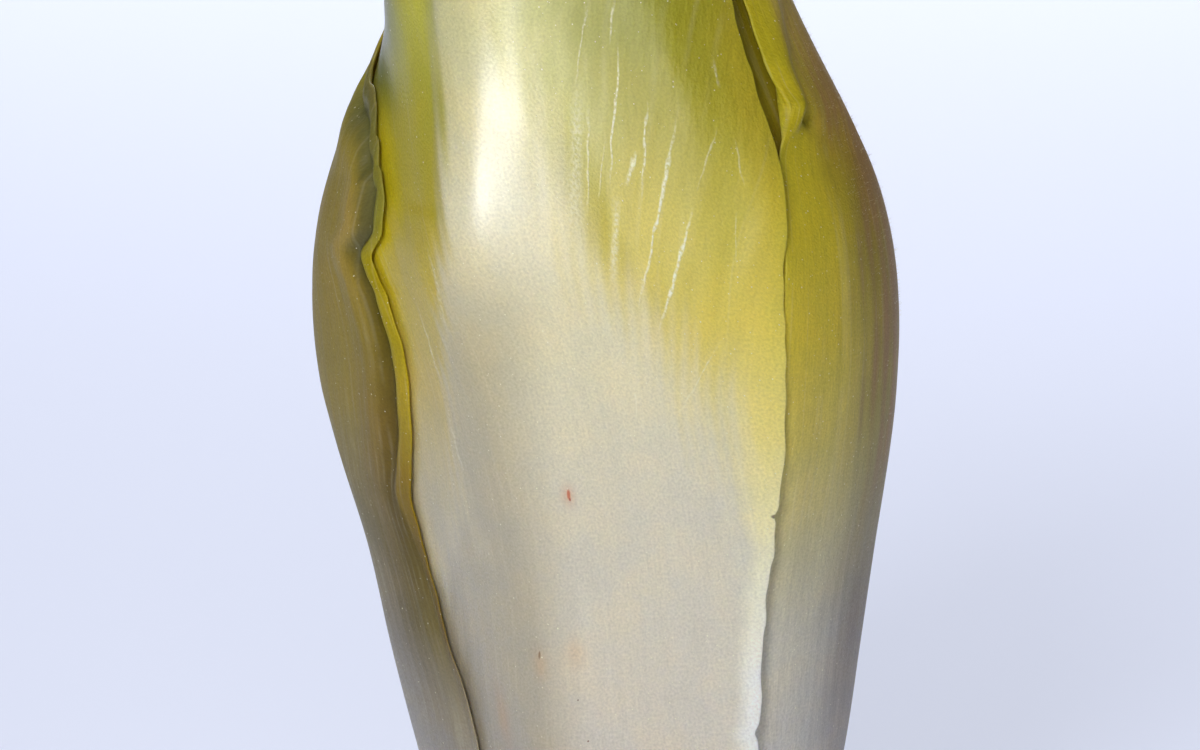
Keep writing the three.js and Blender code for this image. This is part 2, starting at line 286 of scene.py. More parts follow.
class Leaf:
    """Outline of a leaf: its middle line and margins as angles by height, and a rounded
    end that starts `shoulder` below its tip. The end is broad at a `fullness` of 0.5 and
    narrow at 1."""

    def __init__(
        self, name, middle, before, after, shoulder, fullness, nicks=(), tears=(), air=0.0
    ):
        self.name = name
        self.foot, self.tip = foot_and_tip(name)
        self.middle = curve_through(middle)
        self.before = curve_through(before)
        self.after = curve_through(after)
        self.shoulder = shoulder
        self.fullness = fullness
        self.nicks = nicks
        self.tears = tears
        self.air = air

    def half_span(self, side, height):
        """Degrees from the middle to the margin on the given side."""
        middle = self.middle(height)
        return np.where(side < 0, middle - self.before(height), self.after(height) - middle)

    def away(self, angle, height):
        """Shortest turn from the middle line to an angle."""
        turn = angle - self.middle(height)
        return turn - 360 * np.round(turn / 360)

    def end_height(self, u):
        """Height of the end above u, which runs from -1 to 1 between the margins."""
        level = np.power(np.clip(1 - np.abs(u) ** END_SHARPNESS, 0, 1), self.fullness)
        torn = sum(depth * bell(u, at, width) for at, depth, width in self.tears)
        return self.tip - self.shoulder * (1 - level) - torn

    def inside(self, angle, height):
        """Signed distance inside the outline |u|^sharpness + rise^(1/fullness) = 1."""
        tiny = 1e-3
        away = self.away(angle, height)
        span = self.half_span(away, height)
        u = np.maximum(np.abs(away / span), tiny)
        rise = np.maximum((height - self.tip + self.shoulder) / self.shoulder, 0)
        left = 1 - u**END_SHARPNESS - rise ** (1 / self.fullness)
        across = END_SHARPNESS * u ** (END_SHARPNESS - 1) / arc_length(span, height)
        up = rise ** (1 / self.fullness - 1) / (self.fullness * self.shoulder)
        return left / np.sqrt(across**2 + up**2 + tiny**2)

    def pitch(self, angle, height):
        """Room that the leaf takes: much along the midrib, little at the margins."""
        up = height / HEAD_HEIGHT
        rib = RIB_PITCH * (1 - RIB_THINS_BY * up) - EDGE_PITCH
        spread = RIB_SPREAD * (1 - RIB_NARROWS_BY * up)
        across = arc_length(self.away(angle, height), height)
        swell = np.exp(-((across / spread) ** 2))
        return EDGE_PITCH + self.air + np.maximum(rib, LEAST_RIB) * swell

    def length_share(self, height):
        """0 at the foot, 1 at the tip."""
        return (height - self.foot) / (self.tip - self.foot)

    def fan(self, arc, height):
        """Vein that passes a point. In the front leaf arc / rise^bend stays the same
        along one vein; in the others the veins run between the margins."""
        if self.name != "outer_leaf_front":
            return VEIN_SPREAD * arc / arc_length(self.half_span(arc, height), height)
        start = self.foot + FAN_START * (self.tip - self.foot)
        rise = np.sqrt(np.maximum(height - start, 0) ** 2 + FAN_SOFTNESS**2)
        return arc / rise**FAN_BEND


leaves = []
LEFT, FRONT, RIGHT = range(3)  # places of the outer leaves in it


def leaf_depth(k, angle, height):
    """Depth under the envelope of leaf k's outer face: what the leaves over it take."""
    depth = np.zeros(np.broadcast(angle, height).shape)
    for leaf in leaves[:k]:
        cover = smoothstep(-BRIDGE, -LEDGE, leaf.inside(angle, height))
        depth += cover * leaf.pitch(angle, height)
    return depth


def radius_at_depth(depth, angle, height):
    """Radius at a depth, with the layers near the stem squeezed so none passes it."""
    edge = envelope(angle, height)
    share = depth / (edge - stem_radius(height) - STEM_GAP)
    return edge - depth / (1 + share**4) ** 0.25


def add_inner_leaf(name):
    """An inner leaf stands a golden angle round from the one before, and wraps as far
    round as its flat width reaches at its own radius."""
    k = len(leaves)
    foot, tip = foot_and_tip(name)
    middle = FIRST_ANGLE + GOLDEN_ANGLE * k
    height = foot + np.linspace(0, 1, 6) * (tip - foot)
    radius = radius_at_depth(leaf_depth(k, middle, height), middle, height)
    widening = smoothstep(foot, foot + FOOT_LENGTH, height)
    width = HALF_WIDTH * (FOOT_WIDTH + (1 - FOOT_WIDTH) * widening)
    wrap = np.minimum(np.degrees(width / radius), WIDEST_WRAP)
    leaves.append(
        Leaf(
            name=name,
            middle={0: middle, HEAD_HEIGHT: middle},
            before=dict(zip(height, middle - wrap)),
            after=dict(zip(height, middle + wrap)),
            shoulder=30,
            fullness=0.6,
            air=INNER_AIR * k,
        )
    )


for spec in OUTER_LEAVES:
    leaves.append(Leaf(**spec))
for inner_name in sorted(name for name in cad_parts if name.startswith("inner_leaf")):
    add_inner_leaf(inner_name)


# ---------- relief


def ragged(leaf, side, height):
    """Degrees by which a margin draws back: a sine of 4 mm, bites of 12 mm that meet in
    points as |sin| does, and the torn nicks."""
    wobble = 0.06 * np.sin(height / 0.7 + 2 * np.sin(height / 4.1)) + 0.1
    wobble += 0.26 * np.abs(np.sin(height / 3.7 + 1.5 * np.sin(height / 7.7)))
    torn = 0 * height
    for at, depth, width in leaf.nicks:
        torn = torn + depth * bell(height, at, width)
    drawn = np.where(side > 0, wobble + torn, wobble)
    return np.degrees(drawn / np.maximum(head_radius(height), LEAST_GIRTH))


def relief_left(arc, height, edge):
    """Strip along the free margin laid flat on the front leaf, a valley beside it and a
    soft ridge beyond."""
    near = smoothstep(8, 20, arc)
    band = smoothstep(54, 66, height) * (1 - smoothstep(96, 104, height))
    width = strip_width(height)
    valley = -0.85 * bell(edge, width + 0.9, 1.0) + 0.35 * bell(edge, width + 4.4, 2.2)
    laid = -0.4 * np.exp(-edge / 1.5) * smoothstep(40, 56, height)
    groove = -0.5 * bell(edge, 1.4, 1.4) * (1 - smoothstep(48, 62, height))
    return near * (band * valley + laid + groove)


def strip_width(height):
    """Width in mm of the strip along the left leaf's free margin."""
    return 2.6 - 0.7 * smoothstep(80, 85, height)


def relief_front(arc, height, edge):
    """Midrib proud of the blade, steeper on its left and more upright above the belly,
    and a right margin that flares."""
    width = rib_width(leaves[FRONT].length_share(height))
    high = smoothstep(72, 88, height)
    left_flank = smoothstep(-width - 2.4, -width + 0.8, arc)
    right_flank = 1 - smoothstep(width - 2, width + 5, arc)
    rib = 0.55 * high * (left_flank * right_flank - 0.5)
    upright = 0.75 * smoothstep(96, 111, height) * bell(arc, -2, 24)
    flare = 0.32 * np.exp(-edge / 2.5) - 0.2 * bell(edge, 5.0, 2.5)
    return rib + upright + flare * (arc > 0)


def relief_right(angle, arc, height, edge):
    """Free margin rolled outwards near the top, ending in a knuckle over a pit. At the
    belly the leaf swells up against the front leaf's margin."""
    near = smoothstep(2, -2, arc)
    high = smoothstep(93.5, 98, height) * (1 - smoothstep(125, 138, height))
    reach = 1.3 + 0.16 * (height - 96)
    roll = 1.15 * bell(edge, reach, 0.55 * reach + 0.5)
    covered = leaves[FRONT].inside(angle, height)
    pressed = 0.6 * np.exp(-np.maximum(covered, 0) / 1.2 - np.maximum(-covered, 0) / 4)
    return near * (high * roll + pressed * window(height, 62, 86, 3))


PLAIN_FOOT = 12  # the relief fades in over this height

# Pits, knuckles and swells: leaf, angle, height, half width, half height, rise.
DENTS = (
    ("outer_leaf_right", 63.5, 95.6, 1.1, 0.9, -1.0),
    ("outer_leaf_right", 57.5, 97.6, 1.3, 0.9, 0.45),
    ("outer_leaf_front", 2, 55, 9, 16, -0.25),
    ("outer_leaf_front", -26, 66, 6, 12, -0.2),
    ("outer_leaf_front", -82, 110, 9, 8, 1.7),
)


def patch(angle, height, at_angle, at_height, half_width, half_height):
    """1 at a place on a leaf, falling like a bell to 0.37 at a half width or height."""
    across = arc_length(angle - at_angle, height) / half_width
    up = (height - at_height) / half_height
    return np.exp(-(across**2) - up**2)


def relief(k, angle, arc, height, edge):
    """Rise of a leaf's outer face: low ribs along the veins, a broad unevenness, the
    leaf's own relief and its dents."""
    leaf = leaves[k]
    fan = leaf.fan(arc, height)
    rise = 0.03 * waves(fan * 6, height / 6, (2.6, 3.7, 5.9), k)
    rise += 0.1 * waves(arc, height / 3, (11, 17, 26), k + 3)
    if k == LEFT:
        rise = rise + relief_left(arc, height, edge)
    if k == FRONT:
        rise = rise + relief_front(arc, height, edge)
    if k == RIGHT:
        rise = rise + relief_right(angle, arc, height, edge)
    for name, *where, depth in DENTS:
        if name == leaf.name:
            rise = rise + depth * patch(angle, height, *where)
    return rise * smoothstep(0, PLAIN_FOOT, height - leaf.foot)


# ---------- colour


def linear(hex_colour):
    """sRGB hex to linear RGBA."""
    values = [int(hex_colour[i : i + 2], 16) / 255 for i in (1, 3, 5)]
    lit = [v / 12.92 if v <= 0.04045 else ((v + 0.055) / 1.055) ** 2.4 for v in values]
    return np.array([*lit, 1])


def blend(first, second, amount):
    """Mixes two colours or colour arrays by an array of amounts."""
    amount = np.asarray(amount)[..., None]
    return first * (1 - amount) + second * amount


def shaded(stations, height):
    """Colour that runs through stations of height and hex up the leaf."""
    bands = np.array([linear(shade) for shade in stations.values()]).T
    return np.stack([np.interp(height, list(stations), band) for band in bands], axis=-1)


# Colours by height: the fleshy midrib, the blade beside it, and the outer leaves' own.
RIB = {
    30: "#ddd4c2", 60: "#dfd7bc", 75: "#e4dbb3", 90: "#e6dfba", 105: "#dcd6a0", 125: "#d2d08c",
}
BLADE = {
    30: "#dcd5b8", 58: "#e3d7a2", 68: "#e5d484", 78: "#dfcb56", 88: "#d3c34a", 98: "#b0a828",
    107: "#9c9b18", 125: "#9ea12c",
}
FRONT_BAND = {
    40: "#cfc8b0", 60: "#cbbd90", 70: "#c8b466", 80: "#c9b238", 90: "#bdae30", 100: "#bdb634",
    108: "#cbc742", 125: "#a2a434",
}
# Right margin of the front leaf: its own cream and yellow, lightened with a painted highlight.
LIP_AND_HIGHLIGHT = {
    40: "#fffaec", 52: "#fdf2ca", 60: "#f8e6a2", 67: "#eed97a", 75: "#e8d158", 83: "#d9c23a",
    95: "#cfbc22",
}
LEFT_BODY = {
    30: "#a5a19a", 43: "#8c8474", 53: "#7f7450", 66: "#958230", 85: "#9b862c", 97: "#8a7f34",
    110: "#7c763a",
}
LEFT_FLANK = {
    30: "#a39c90", 44: "#75683f", 53: "#75632c", 66: "#897026", 75: "#8f7c20", 83: "#a38e30",
    92: "#9c8d38", 104: "#837c42",
}
# Valley beside the left leaf's strip: its own olive, deepened with painted shade.
LEFT_VALLEY_SHADE = {
    30: "#a0998a", 44: "#75683a", 53: "#63520f", 66: "#614e06", 76: "#5c5004", 84: "#5f5a2c",
    92: "#6b6838", 104: "#77733c",
}
LEFT_STRIP = {
    30: "#a0998a", 44: "#6e5c28", 53: "#7a6310", 60: "#8d7410", 68: "#b0981a", 76: "#ad9a0a",
    82: "#a39408", 86: "#8f8a28", 96: "#77733c", 106: "#6a5f44",
}
RIGHT_NEAR = {
    30: "#cfcac0", 45: "#cbc5b2", 55: "#c8be90", 65: "#cdbd62", 75: "#d0bc40", 85: "#cfbc34",
    95: "#c9b82c", 108: "#c0b02c", 130: "#a3a236",
}
# Right leaf towards its outline: browner olive, darkened with painted shade.
RIGHT_FAR_SHADED = {
    30: "#b4aba0", 45: "#9a8f80", 58: "#a59968", 68: "#a59342", 80: "#a08a2a", 92: "#a98f32",
    105: "#b8a04c", 130: "#97933a",
}
GOLD = linear("#ccb31a")
SUNNY = linear("#cfbb14")
# Painted sheen on the front leaf, right of its midrib.
PAINTED_SHEEN_YELLOW = linear("#ebe796")
# Painted shade, dark green, on the front leaf near its top left.
DARK_GREEN_PAINTED_SHADE = linear("#6f7426")
# Painted shade, grey, at the front leaf's foot beside the left leaf.
PAINTED_SHADE_GREY = linear("#9f988a")
# Painted shade for the front leaf's turned side.
TURNED_SIDE_PAINTED_SHADE = linear("#a0936c")
# Painted highlight on the left leaf's ridge.
PEACH_HIGHLIGHT = linear("#bd9a5c")
RED_BROWN = linear("#a37a50")
ROLL_YELLOW = linear("#b9ab20")
# Darker olive, partly painted shade, for the inner leaf seen in the wedge.
WEDGE_OLIVE_SHADE = linear("#8f7f18")

# Stains: leaf, angle, height, half width, half height, colour, strength.
STAINS = (
    ("outer_leaf_front", -9.7, 61.3, 0.7, 1.1, "#dc9a66", 0.45),
    ("outer_leaf_front", -22.0, 43.4, 0.9, 1.6, "#d8a868", 0.35),
    ("outer_leaf_front", -12.3, 44.8, 1.2, 1.6, "#dcb27c", 0.3),
    ("outer_leaf_front", -39.7, 36.4, 1.2, 3.0, "#c99a5e", 0.4),
)


def leaf_colour(k, angle, arc, height, edge):
    """White midrib that widens downwards, a blade that greens upwards, a border between
    them frayed along the veins, gilded margins, and the outer leaves' own colours."""
    leaf = leaves[k]
    share = leaf.length_share(height)
    level = height if k < len(OUTER_LEAVES) else HEAD_HEIGHT * share
    streak = waves(leaf.fan(arc, height) * 6, height / 12, (1.3, 2.1, 3.4), k)
    frayed = np.where(arc > 0, 1.3 + 1.2 * window(level, 62, 84, 6), 1.3)
    beyond = np.abs(arc) - rib_width(share) + frayed * streak - 1.2 * (arc < 0)
    soft = 5.5 - 3 * smoothstep(82, 104, level) + 2 * window(level, 62, 82, 6)
    soft = np.where(arc > 0, soft, 3.0)
    blade = smoothstep(-soft, soft, beyond)
    if k >= len(OUTER_LEAVES):
        blade = np.maximum(blade, smoothstep(72, 96, level))
    tint = blend(shaded(RIB, level), shaded(BLADE, level), blade)
    tint = blend(tint, GOLD, 0.75 * np.exp(-edge / 4) * window(level, 83, 112, 8))
    if k == LEFT:
        tint = paint_left(tint, arc, height, edge, streak)
    if k == FRONT:
        tint = paint_front(tint, angle, arc, height, edge, beyond)
    if k == RIGHT:
        tint = paint_right(tint, angle, height, edge, streak)
    # Darker olive, partly painted shade, for the inner leaf seen in the wedge between the front
    # and right leaves.
    if leaf.name == "inner_leaf_05":
        tint = blend(tint, WEDGE_OLIVE_SHADE, 0.85 * window(height, 90, 118, 6))
    for name, *where, shade, strength in STAINS:
        if name == leaf.name:
            tint = blend(tint, linear(shade), strength * patch(angle, height, *where))
    return tint


def paint_front(tint, angle, arc, height, edge, beyond):
    """Olive band left of the midrib, sunny yellow beside the left leaf's margin and painted
    dark green shade above, and a painted sheen in a bright band right of the midrib near
    the top. Painted shade darkens the turned side low down and the foot beside the left
    leaf. The right margin is lighter: its own cream and yellow with a painted highlight."""
    gap = np.maximum(-leaves[LEFT].inside(angle, height), 0)
    left = smoothstep(1, -1, arc)
    band = left * smoothstep(-2.2, 2.2, beyond + 4 * smoothstep(84, 66, height))
    tint = blend(tint, shaded(FRONT_BAND, height), band)
    tint = blend(tint, SUNNY, 0.8 * left * np.exp(-gap / 2.2) * window(height, 77, 96, 5))
    # Painted shade: dark green beside the left leaf's margin near the top and where the edge
    # turns away from the light.
    dark = bell(gap, 0, 3.2) * smoothstep(93, 100, height)
    dark = np.maximum(dark, smoothstep(-58, -84, angle) * smoothstep(96, 103, height))
    tint = blend(tint, DARK_GREEN_PAINTED_SHADE, 0.9 * left * dark)
    # Painted sheen: a pale yellow band right of the midrib near the top.
    painted_sheen = (1 - left) * bell(beyond, 2.5, 4.5) * smoothstep(88, 99, height)
    tint = blend(tint, PAINTED_SHEEN_YELLOW, 0.45 * painted_sheen)
    # Painted shade on the side turned from the light, left of the midrib low down.
    turned_side_shade = smoothstep(-8, -26, angle) * smoothstep(90, 74, height)
    tint = blend(tint, TURNED_SIDE_PAINTED_SHADE, 0.6 * turned_side_shade * (1 - band))
    # The right margin: its own cream and yellow, lightened with a painted highlight where the
    # flared edge faces the light.
    reach = 3.0 + 3.0 * window(height, 60, 84, 6)
    lip_and_highlight = (1 - left) * smoothstep(reach, 0.25 * reach, edge) * smoothstep(96, 84, height)
    tint = blend(tint, shaded(LIP_AND_HIGHLIGHT, height), lip_and_highlight)
    # Painted shade: grey low down on the front leaf beside the left leaf's margin.
    low = smoothstep(52, 36, height) * np.exp(-gap / 5)
    return blend(tint, PAINTED_SHADE_GREY, 0.8 * left * low)


def paint_left(tint, arc, height, edge, streak):
    """Olive flank, a valley beside the strip along the free margin in dark olive deepened
    with painted shade, and a painted peach highlight on the ridge. The back of the leaf
    stays as any other."""
    near = smoothstep(8, 26, arc)
    flank = 1 - smoothstep(5, 12, edge + 1.2 * streak)
    # The valley: the leaf's own dark olive, deepened with painted shade in the hollow.
    valley = 1 - smoothstep(3.4, 6.0, edge + 0.3 * streak)
    own = blend(shaded(LEFT_BODY, height), shaded(LEFT_FLANK, height), flank)
    own = blend(own, shaded(LEFT_VALLEY_SHADE, height), valley)
    # Painted highlight: a peach streak where the ridge catches the light.
    peach = bell(edge, 6.4, 1.6) * bell(height, 84, 6)
    own = blend(own, PEACH_HIGHLIGHT, 0.35 * peach)
    width = strip_width(height) - 1.2 * smoothstep(60, 50, height)
    strip = 1 - smoothstep(width - 0.4, width + 0.3, edge)
    own = blend(own, shaded(LEFT_STRIP, height), strip)
    return blend(tint, own, near)


def paint_right(tint, angle, height, edge, streak):
    """Olive side that browns in streaks towards the right, darkened there with painted
    shade, and grey-white low down.
    """
    near = 1 - smoothstep(84, 108, angle + 4 * streak)
    # Towards the right: the leaf's own browner olive, darkened with painted shade where it
    # turns from the light.
    far = smoothstep(52, 74, angle + 3 * streak)
    own = blend(shaded(RIGHT_NEAR, height), shaded(RIGHT_FAR_SHADED, height), far)
    red = smoothstep(66, 82, angle + 9 * streak) * window(height, 58, 104, 9)
    own = blend(own, RED_BROWN, 0.7 * red)
    roll = (1 - smoothstep(1.8, 3.0, edge)) * smoothstep(94, 97, height)
    own = blend(own, ROLL_YELLOW, 0.8 * roll)
    return blend(tint, own, near)


# ---------- leaf surface

MARGIN_ROUND = 0.15  # radius of a rounded margin
ROUND_STEPS = np.array((0, 0.015, 0.05, 0.1, 0.18))  # grid lines next to a margin


def leaf_face(k, u, t, inner):
    """Points of leaf k for arrays u (across, -1 to 1) and t (up, 0 to 1), and the look
    of each: its colour, its arc from the middle line, its height and its vein.

    A point stands at height foot + t (end(u) - foot), at angle middle + u half span.
    Its radius is the envelope less the depth of the leaves over it, plus the relief,
    less this leaf's thickness on the inner face. At the margins both faces meet in a
    half circle.
    """
    leaf = leaves[k]
    end = leaf.end_height(u)
    height = leaf.foot + t * (end - leaf.foot)
    span = leaf.half_span(u, height) - ragged(leaf, u, height)
    angle = leaf.middle(height) + u * span
    side = (1 - np.abs(u)) * arc_length(span, height)
    top = (1 - t) * (end - leaf.foot)
    edge = np.minimum(side, top)
    arc = arc_length(u * span, height)
    rise = relief(k, angle, arc, height, edge)
    room = leaf.pitch(angle, height) - SKIN_GAP + np.minimum(rise, 0)
    full = EDGE_THICKNESS + EDGE_TAPER * edge + EDGE_FILLING * edge**2
    thickness = np.minimum(full, np.maximum(room, LEAST_THICKNESS))
    depth = leaf_depth(k, angle, height)
    outer = radius_at_depth(depth, angle, height) + rise
    under = radius_at_depth(depth + thickness, angle, height) + np.minimum(rise, 0)
    closing = np.clip(1 - edge / MARGIN_ROUND, 0, 1)
    half = (outer - under) / 2 * np.sqrt(1 - closing**2)
    radius = (outer + under) / 2 + (-half if inner else half)
    growth = np.stack([arc, height, leaf.fan(arc, height)], axis=-1)
    look = np.concatenate([leaf_colour(k, angle, arc, height, edge), growth], axis=-1)
    return place(radius, angle, height), look


def between_margins(count, length):
    """Numbers from -1 to 1, closer together at the rounded margins."""
    s = np.linspace(-1, 1, count)
    main = 0.65 * s + 0.35 * np.sin(np.pi / 2 * s)
    steps = ROUND_STEPS / length
    main = main[np.abs(main) < 1 - 1.5 * steps[-1]]
    return np.concatenate([-1 + steps, main, (1 - steps)[::-1]])


CUT_SHARES = (0.0, 0.35, 0.7, 0.95)  # grid lines across the cut foot
CUT_BEVEL = 0.12  # height by which the cut's outer corner is worn
USUAL_HALF_WIDTH = 30.0  # of a leaf, to space the grid lines next to its margins
FOOT_ROWS = 4  # rows above the cut that the lowest coarse cells span
LEAST_LINES = 4  # of the coarse grid, either way


def build_leaf(k, columns, rows, coarse):
    """Closed leaf: a fine outer grid whose first rows are the cut foot, and a coarse
    inner grid."""
    leaf = leaves[k]
    u = between_margins(columns, USUAL_HALF_WIDTH)
    t = np.linspace(0, 1, rows)
    steps = ROUND_STEPS / (leaf.tip - leaf.foot)
    t = np.concatenate([t[t < 1 - 1.5 * steps[-1]], (1 - steps)[::-1]])
    outer, look = leaf_face(k, *np.meshgrid(u, t), inner=False)
    foot = leaf_face(k, u, np.zeros_like(u), inner=True)[0]
    cut = [foot + share * (outer[0] - foot) for share in CUT_SHARES]
    outer[0, :, 2] += CUT_BEVEL * MM
    pad = len(CUT_SHARES)
    fine = np.concatenate([np.stack(cut), outer])
    look = np.concatenate([np.repeat(look[:1], pad, axis=0), look])

    count_r, count_c = fine.shape[:2]
    across = np.linspace(0, count_c - 1, max(count_c // coarse, LEAST_LINES))
    pick_c = np.unique(across.astype(int))
    up = np.linspace(pad + FOOT_ROWS, count_r - 1, max(count_r // coarse, LEAST_LINES))
    pick_r = np.unique(np.append(up.astype(int), 0))
    grid = np.meshgrid(u[pick_c[1:-1]], t[pick_r[1:-1] - pad])
    under, under_look = leaf_face(k, *grid, inner=True)
    points = np.concatenate([fine.reshape(-1, 3), under.reshape(-1, 3)])
    looks = np.concatenate([look.reshape(-1, 7), under_look.reshape(-1, 7)])
    faces = shell_faces(count_r, count_c, pick_r, pick_c)
    return make_mesh(leaf.name + "_skin", points, faces, looks)


def shell_faces(count_r, count_c, pick_r, pick_c):
    """Fine quads outside and coarse cells inside; a coarse cell on the boundary is a
    polygon that runs along the fine points between its corners."""
    index = np.arange(count_r * count_c).reshape(count_r, count_c)
    quads = [index[:-1, :-1], index[:-1, 1:], index[1:, 1:], index[1:, :-1]]
    faces = np.stack(quads, axis=-1).reshape(-1, 4).tolist()
    ids = index[np.ix_(pick_r, pick_c)].copy()
    inside = ids[1:-1, 1:-1]
    inside[...] = index.size + np.arange(inside.size).reshape(inside.shape)
    last_r, last_c = len(pick_r) - 2, len(pick_c) - 2
    for r in range(last_r + 1):
        for c in range(last_c + 1):
            rows = slice(pick_r[r] + 1, pick_r[r + 1])
            columns = slice(pick_c[c] + 1, pick_c[c + 1])
            left = index[rows, 0].tolist() if c == 0 else []
            top = index[-1, columns].tolist() if r == last_r else []
            right = index[rows, -1][::-1].tolist() if c == last_c else []
            bottom = index[0, columns][::-1].tolist() if r == 0 else []
            faces.append(
                [ids[r, c], *left, ids[r + 1, c], *top, ids[r + 1, c + 1], *right]
                + [ids[r, c + 1], *bottom]
            )
    return faces


def add_object(name, data):
    """Object at the origin that shows a mesh, camera or light."""
    thing = bpy.data.objects.new(name, data)
    bpy.context.scene.collection.objects.link(thing)
    return thing


def make_mesh(name, points, faces, looks=None):
    """Smooth mesh, with the colour and growth coordinates of every point if given."""
    mesh = bpy.data.meshes.new(name)
    mesh.from_pydata(points.tolist(), [], faces)
    if looks is not None:
        tint = mesh.attributes.new("tint", "FLOAT_COLOR", "POINT")
        tint.data.foreach_set("color", looks[:, :4].astype(np.float32).ravel())
        growth = mesh.attributes.new("growth", "FLOAT_VECTOR", "POINT")
        growth.data.foreach_set("vector", looks[:, 4:].astype(np.float32).ravel())
    mesh.validate()
    mesh.shade_smooth()
    return add_object(name, mesh)


# ---------- stem, bud and hairs

AROUND = 96  # points in a ring


def turned(name, radius, height):
    """Closed form turned from arrays of radius and height, rings by points, with a pole
    under the first ring and over the last."""
    around = radius.shape[1]
    angle = np.linspace(0, 360, around, endpoint=False)
    rings = place(radius, angle, height)
    count = len(rings)
    low, high = rings[0].mean(axis=0), rings[-1].mean(axis=0)
    points = np.concatenate([rings.reshape(-1, 3), low[None], high[None]])
    index = np.arange(count * around).reshape(count, around)
    turn = np.roll(index, -1, axis=1)
    quads = np.stack([index[:-1], turn[:-1], turn[1:], index[1:]], axis=-1)
    bottom = count * around
    faces = quads.reshape(-1, 4).tolist()
    faces += [(bottom, b, a) for a, b in zip(index[0].tolist(), turn[0].tolist())]
    faces += [(bottom + 1, a, b) for a, b in zip(index[-1].tolist(), turn[-1].tolist())]
    return make_mesh(name, points, faces)


def build_stem():
    """Cut face with a faint dip at its pith, a worn rim, and a cone above it with a
    spiral of leaf scars: |sin| of the height and the turn."""
    turns = np.linspace(0, 2 * np.pi, AROUND, endpoint=False)
    across = np.linspace(0.04, 0.96, 24)[:, None]
    face = np.concatenate([across, [[0.99]]]) * STEM_RADIUS
    dip = 0.25 * np.exp(-((face / 2.2) ** 2)) + 0.02 * np.sin(9 * turns + face)
    rise = np.linspace(0.35, STEM_HEIGHT - 0.6, 120)[:, None]
    scars = 0.25 * np.abs(np.sin(np.pi * rise / 3.1 + turns)) - 0.25
    cone = stem_radius(rise) * (1 + 0.01 * np.sin(5 * turns)) + scars
    radius = np.concatenate([face + 0 * turns, np.maximum(cone, 0.3)])
    height = np.concatenate([np.abs(dip), rise + 0 * turns])
    return turned("stem_flesh_core", radius, height)


def build_bud():
    """Furled bud: a spindle, sin^0.35 of the height, in the room that the innermost
    leaf leaves, with the margins of its rolled leaves as a low spiral."""
    foot, tip = foot_and_tip("heart_bud")
    turns = np.linspace(0, 360, AROUND, endpoint=False)
    blunt = 0.2
    rise = np.linspace(foot + blunt, tip - blunt, 140)[:, None]
    room = radius_at_depth(leaf_depth(len(leaves), turns, rise), turns, rise)
    swell = np.sin(np.pi * (rise - foot + blunt) / (tip - foot + 2 * blunt)) ** 0.35
    spindle = (room.min(axis=1, keepdims=True) - SKIN_GAP) * swell
    turn = (turns / 120 + (rise - foot) / 40) % 1
    radius = np.maximum(spindle * (0.9 + 0.1 * turn**0.5), 0.15)
    return turned("furled_bud", radius, rise + 0 * turns)


def build_hairs():
    """Short pale hairs on the right leaf's side: spikes of three corners under the skin
    and a tip that leans up and to one side."""
    random = np.random.default_rng(4)
    count = 1600
    angle = random.uniform(66, 116, count)
    height = random.uniform(74, 122, count)
    skin = radius_at_depth(leaf_depth(RIGHT, angle, height), angle, height)
    root = place(skin, angle, height)
    out = place(np.full(count, 1.0), angle, height) - place(np.zeros(count), angle, height)
    out = out / np.linalg.norm(out, axis=1, keepdims=True)
    up = np.array((0, 0, 1.0))
    side = np.cross(up, out)
    length = random.uniform(0.15, 0.42, (count, 1)) * MM
    lean = random.uniform(-0.4, 0.4, (count, 1))
    thick = 0.022 * MM
    sunk = 0.1 * MM
    base = root - sunk * out
    corners = [base + thick * side, base - thick * side, base + thick * up]
    tip = root + length * (out + 0.6 * up + lean * side)
    points = np.stack([*corners, tip], axis=1).reshape(-1, 3)
    start = 4 * np.arange(count)[:, None, None]
    faces = start + np.array([(0, 1, 2), (0, 3, 1), (1, 3, 2), (2, 3, 0)])
    return make_mesh("right_leaf_hairs", points, faces.reshape(-1, 3).tolist())


# ---------- materials


def add_node(tree, kind, *values, out=0, named=None, **settings):
    """Adds a shader node with its settings, feeds its inputs in order or by name, and
    returns one of its outputs. A socket is linked; any other value is set."""
    node = tree.nodes.new("ShaderNode" + kind)
    for name, value in settings.items():
        setattr(node, name, value)
    for key, value in {**dict(enumerate(values)), **(named or {})}.items():
        if isinstance(value, bpy.types.NodeSocket):
            tree.links.new(value, node.inputs[key])
        else:
            node.inputs[key].default_value = value
    return node.outputs[out] if node.outputs else None


def apart(node, first, second):
    """How far one value is from another."""
    gap = node("Math", first, second, operation="SUBTRACT")
    return node("Math", gap, operation="ABSOLUTE")


def make_material(name, finish, *settings, **marks):
    """Material of one shader, whose values the finish function works out."""
    material = bpy.data.materials.new(name)
    material.use_nodes = True
    material.node_tree.nodes.clear()
    node = partial(add_node, material.node_tree)
    node("OutputMaterial", node("BsdfPrincipled", named=finish(node, *settings, **marks)))
    return material


def matt_paint(_):
    """Pale matt paint, for the floor only: even, with no highlight."""
    return {"Base Color": linear("#e0e7ff"), "Roughness": 0.6}


